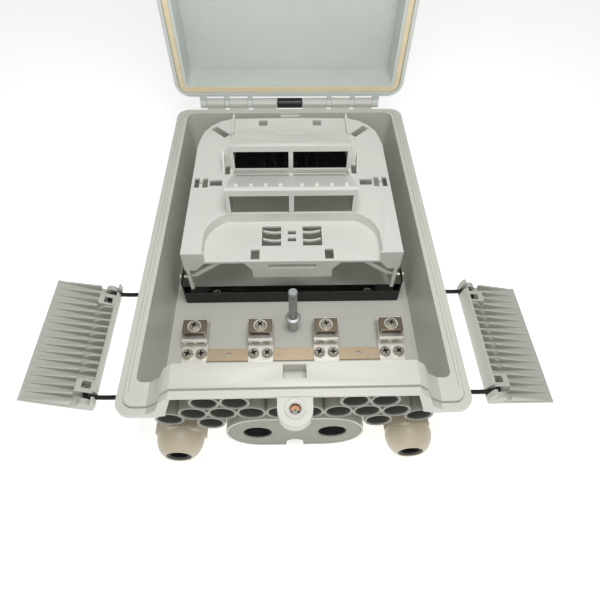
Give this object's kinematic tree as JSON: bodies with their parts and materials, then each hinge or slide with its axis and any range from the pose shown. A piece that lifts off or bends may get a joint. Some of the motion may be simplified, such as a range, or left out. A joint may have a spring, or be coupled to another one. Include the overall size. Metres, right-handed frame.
{
  "type": "fibre termination box",
  "caption": "Grey moulded fibre termination box, open, with cable glands, drop-cable ports, a hinged adapter tray, metal clamps and a swing-out lever latch on each side.",
  "frame": {"origin": "centre of the base's flat back, on which the box lies", "axes": "+Z out of the wall towards the lid, -Y towards the cable entries, +X to the right seen from the front with the entries down"},
  "size_m": [0.4243, 0.4087, 0.4407],
  "materials": {
    "body_grey": "fine satin moulding",
    "tray_grey": "satin moulding",
    "port_grey": "satin moulding",
    "seal_grey": "soft, matt",
    "gland_ivory": "satin nylon",
    "cream_foam": "closed-cell foam, matt",
    "black_plastic": "satin",
    "black_wire": "black coated spring wire",
    "bright_steel": "bright nickel plate",
    "dark_steel": "polished stainless sheet",
    "tinned_brass": "thinly tinned",
    "copper": "bare copper-coloured insert"
  },
  "bodies": {
    "base": {"base_shell": "body_grey", "drop_ports_left": "port_grey", "drop_ports_right": "port_grey", "cable_port_collar": "body_grey", "cable_port_seal": "seal_grey", "lug_insert": "copper", "tray_bracket": "dark_steel", "hinge_retainer": "black_plastic", "fixing_strip": "tinned_brass", "anchor_post": "bright_steel", "anchor_post_screw": "bright_steel", "gland_body_left": "gland_ivory", "gland_seal_left": "black_plastic", "gland_nut_left": "gland_ivory", "bracket_screw_left": "bright_steel", "tray_pin_left": "bright_steel", "hinge_pin_left": "bright_steel", "gland_body_right": "gland_ivory", "gland_seal_right": "black_plastic", "gland_nut_right": "gland_ivory", "bracket_screw_right": "bright_steel", "tray_pin_right": "bright_steel", "hinge_pin_right": "bright_steel", "clamp_foot_1": "bright_steel", "clamp_cap_1": "bright_steel", "clamp_cap_screw_1": "bright_steel", "clamp_foot_screw_1a": "bright_steel", "clamp_foot_screw_1b": "bright_steel", "clamp_foot_2": "bright_steel", "clamp_cap_2": "bright_steel", "clamp_cap_screw_2": "bright_steel", "clamp_foot_screw_2a": "bright_steel", "clamp_foot_screw_2b": "bright_steel", "clamp_foot_3": "bright_steel", "clamp_cap_3": "bright_steel", "clamp_cap_screw_3": "bright_steel", "clamp_foot_screw_3a": "bright_steel", "clamp_foot_screw_3b": "bright_steel", "clamp_foot_4": "bright_steel", "clamp_cap_4": "bright_steel", "clamp_cap_screw_4": "bright_steel", "clamp_foot_screw_4a": "bright_steel", "clamp_foot_screw_4b": "bright_steel"},
    "tray": {"adapter_tray": "tray_grey", "splice_cassette": "black_plastic"},
    "lid": {"lid_shell": "body_grey", "lid_gasket": "cream_foam"},
    "lock_screw": {"lid_lock_screw": "bright_steel"},
    "gland_cap_left": {"gland_cap_left": "gland_ivory"},
    "link_left": {"wire_link_left_near": "black_wire", "wire_link_left_far": "black_wire"},
    "lever_left": {"latch_lever_left": "body_grey"},
    "gland_cap_right": {"gland_cap_right": "gland_ivory"},
    "link_right": {"wire_link_right_near": "black_wire", "wire_link_right_far": "black_wire"},
    "lever_right": {"latch_lever_right": "body_grey"}
  },
  "joints": [
    {"name": "lid_hinge", "type": "hinge", "parent": "base", "child": "lid", "pos_m": [0, 0.1795, 0.07], "axis": [1, 0, 0], "range_deg": [0, 90]},
    {"name": "lock_screw_turn", "type": "hinge", "parent": "lid", "child": "lock_screw", "pos_m": [0, 0.205, 0.4297], "axis": [0, 1, 0], "continuous": true},
    {"name": "tray_flip", "type": "hinge", "parent": "base", "child": "tray", "pos_m": [0, -0.028, 0.03], "axis": [-1, 0, 0], "range_deg": [-50, 0]},
    {"name": "gland_cap_left_turn", "type": "hinge", "parent": "base", "child": "gland_cap_left", "pos_m": [-0.0825, -0.175, 0.025], "axis": [0, -1, 0], "continuous": true},
    {"name": "gland_cap_right_turn", "type": "hinge", "parent": "base", "child": "gland_cap_right", "pos_m": [0.0825, -0.175, 0.025], "axis": [0, -1, 0], "continuous": true},
    {"name": "link_left_swing", "type": "hinge", "parent": "base", "child": "link_left", "pos_m": [-0.1165, -0.083, 0.0165], "axis": [0, 1, 0], "range_deg": [0, 87.7]},
    {"name": "lever_left_tip", "type": "hinge", "parent": "link_left", "child": "lever_left", "pos_m": [-0.16654, -0.083, 0.0115], "axis": [0, -1, 0], "range_deg": [0, 22.7]},
    {"name": "link_right_swing", "type": "hinge", "parent": "base", "child": "link_right", "pos_m": [0.1165, -0.083, 0.0165], "axis": [0, -1, 0], "range_deg": [0, 90]},
    {"name": "lever_right_tip", "type": "hinge", "parent": "link_right", "child": "lever_right", "pos_m": [0.1663, -0.083, 0.0095], "axis": [0, 1, 0], "range_deg": [-22.7, 0]}
  ],
  "couplings": [
    {"joint": "lever_left_tip", "follows": "link_left_swing", "ratio": 0.2588}
  ]
}
